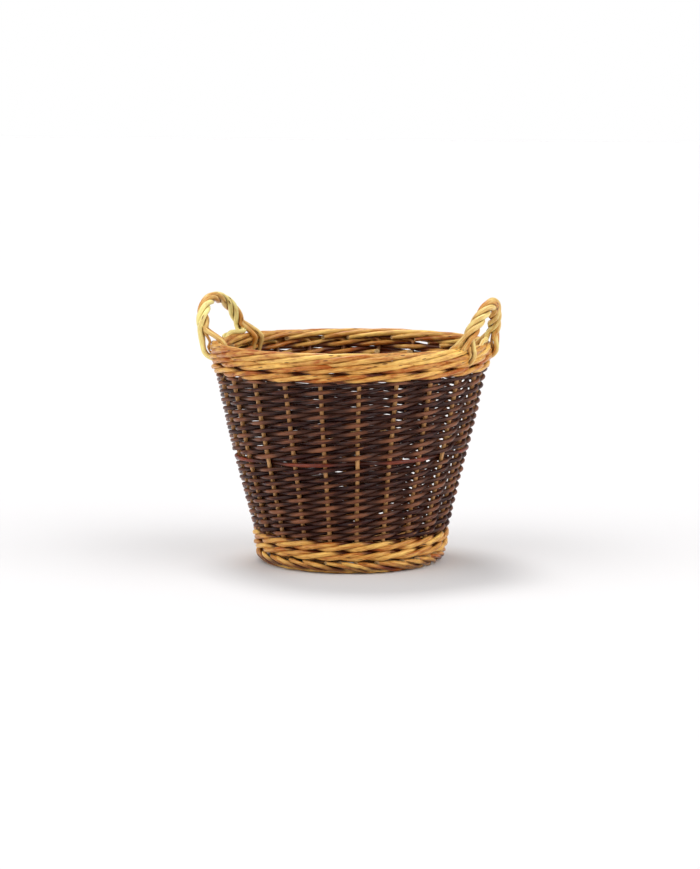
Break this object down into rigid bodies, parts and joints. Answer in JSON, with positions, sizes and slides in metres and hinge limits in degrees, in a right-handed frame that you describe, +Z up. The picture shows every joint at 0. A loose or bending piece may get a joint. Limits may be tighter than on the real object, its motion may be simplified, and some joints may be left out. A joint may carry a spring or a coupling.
{
  "type": "handled log basket",
  "caption": "Round tapered woven willow basket with a rolled border, a ring foot, two brown side bands and two roped ear handles.",
  "frame": {"origin": "centre of the foot on the floor, on the basket's axis", "axes": "+Z up; the two ear handles lie on -X and +X; -Y is the side that the picture shows, turned about 19 degrees"},
  "size_m": [0.485, 0.449, 0.4272],
  "materials": {
    "stake_willow": "peeled buff willow, satin, with fine grain and dark nodes",
    "buff_willow": "peeled buff willow, satin, golden with brown shading",
    "base_willow": "peeled buff willow, matt",
    "handle_willow": "peeled buff willow, satin, worn smooth by hands",
    "brown_willow": "unpeeled dark brown willow bark, semi-gloss with pale specks",
    "red_willow": "unpeeled reddish brown willow bark, satin"
  },
  "bodies": {
    "root": {"stake_01": "stake_willow", "stake_02": "stake_willow", "stake_03": "stake_willow", "stake_04": "stake_willow", "stake_05": "stake_willow", "stake_06": "stake_willow", "stake_07": "stake_willow", "stake_08": "stake_willow", "stake_09": "stake_willow", "stake_10": "stake_willow", "stake_11": "stake_willow", "stake_12": "stake_willow", "stake_13": "stake_willow", "stake_14": "stake_willow", "stake_15": "stake_willow", "stake_16": "stake_willow", "stake_17": "stake_willow", "stake_18": "stake_willow", "stake_19": "stake_willow", "stake_20": "stake_willow", "stake_21": "stake_willow", "stake_22": "stake_willow", "base_stick_1": "base_willow", "base_stick_2": "base_willow", "base_stick_3": "base_willow", "base_stick_4": "base_willow", "base_stick_5": "base_willow", "base_stick_6": "base_willow", "base_weave": "base_willow", "foot_border": "buff_willow", "bottom_wale_rod_1": "buff_willow", "bottom_wale_rod_2": "buff_willow", "bottom_wale_rod_3": "buff_willow", "lower_siding": "brown_willow", "middle_round": "red_willow", "upper_siding": "brown_willow", "top_wale_rod_1": "buff_willow", "top_wale_rod_2": "buff_willow", "top_wale_rod_3": "buff_willow", "handle_bow_left": "handle_willow", "handle_bow_right": "handle_willow", "handle_wrap_left_1": "handle_willow", "handle_wrap_left_2": "handle_willow", "handle_wrap_left_3": "handle_willow", "handle_wrap_left_4": "handle_willow", "handle_wrap_right_1": "handle_willow", "handle_wrap_right_2": "handle_willow", "handle_wrap_right_3": "handle_willow", "handle_wrap_right_4": "handle_willow"}
  },
  "joints": []
}
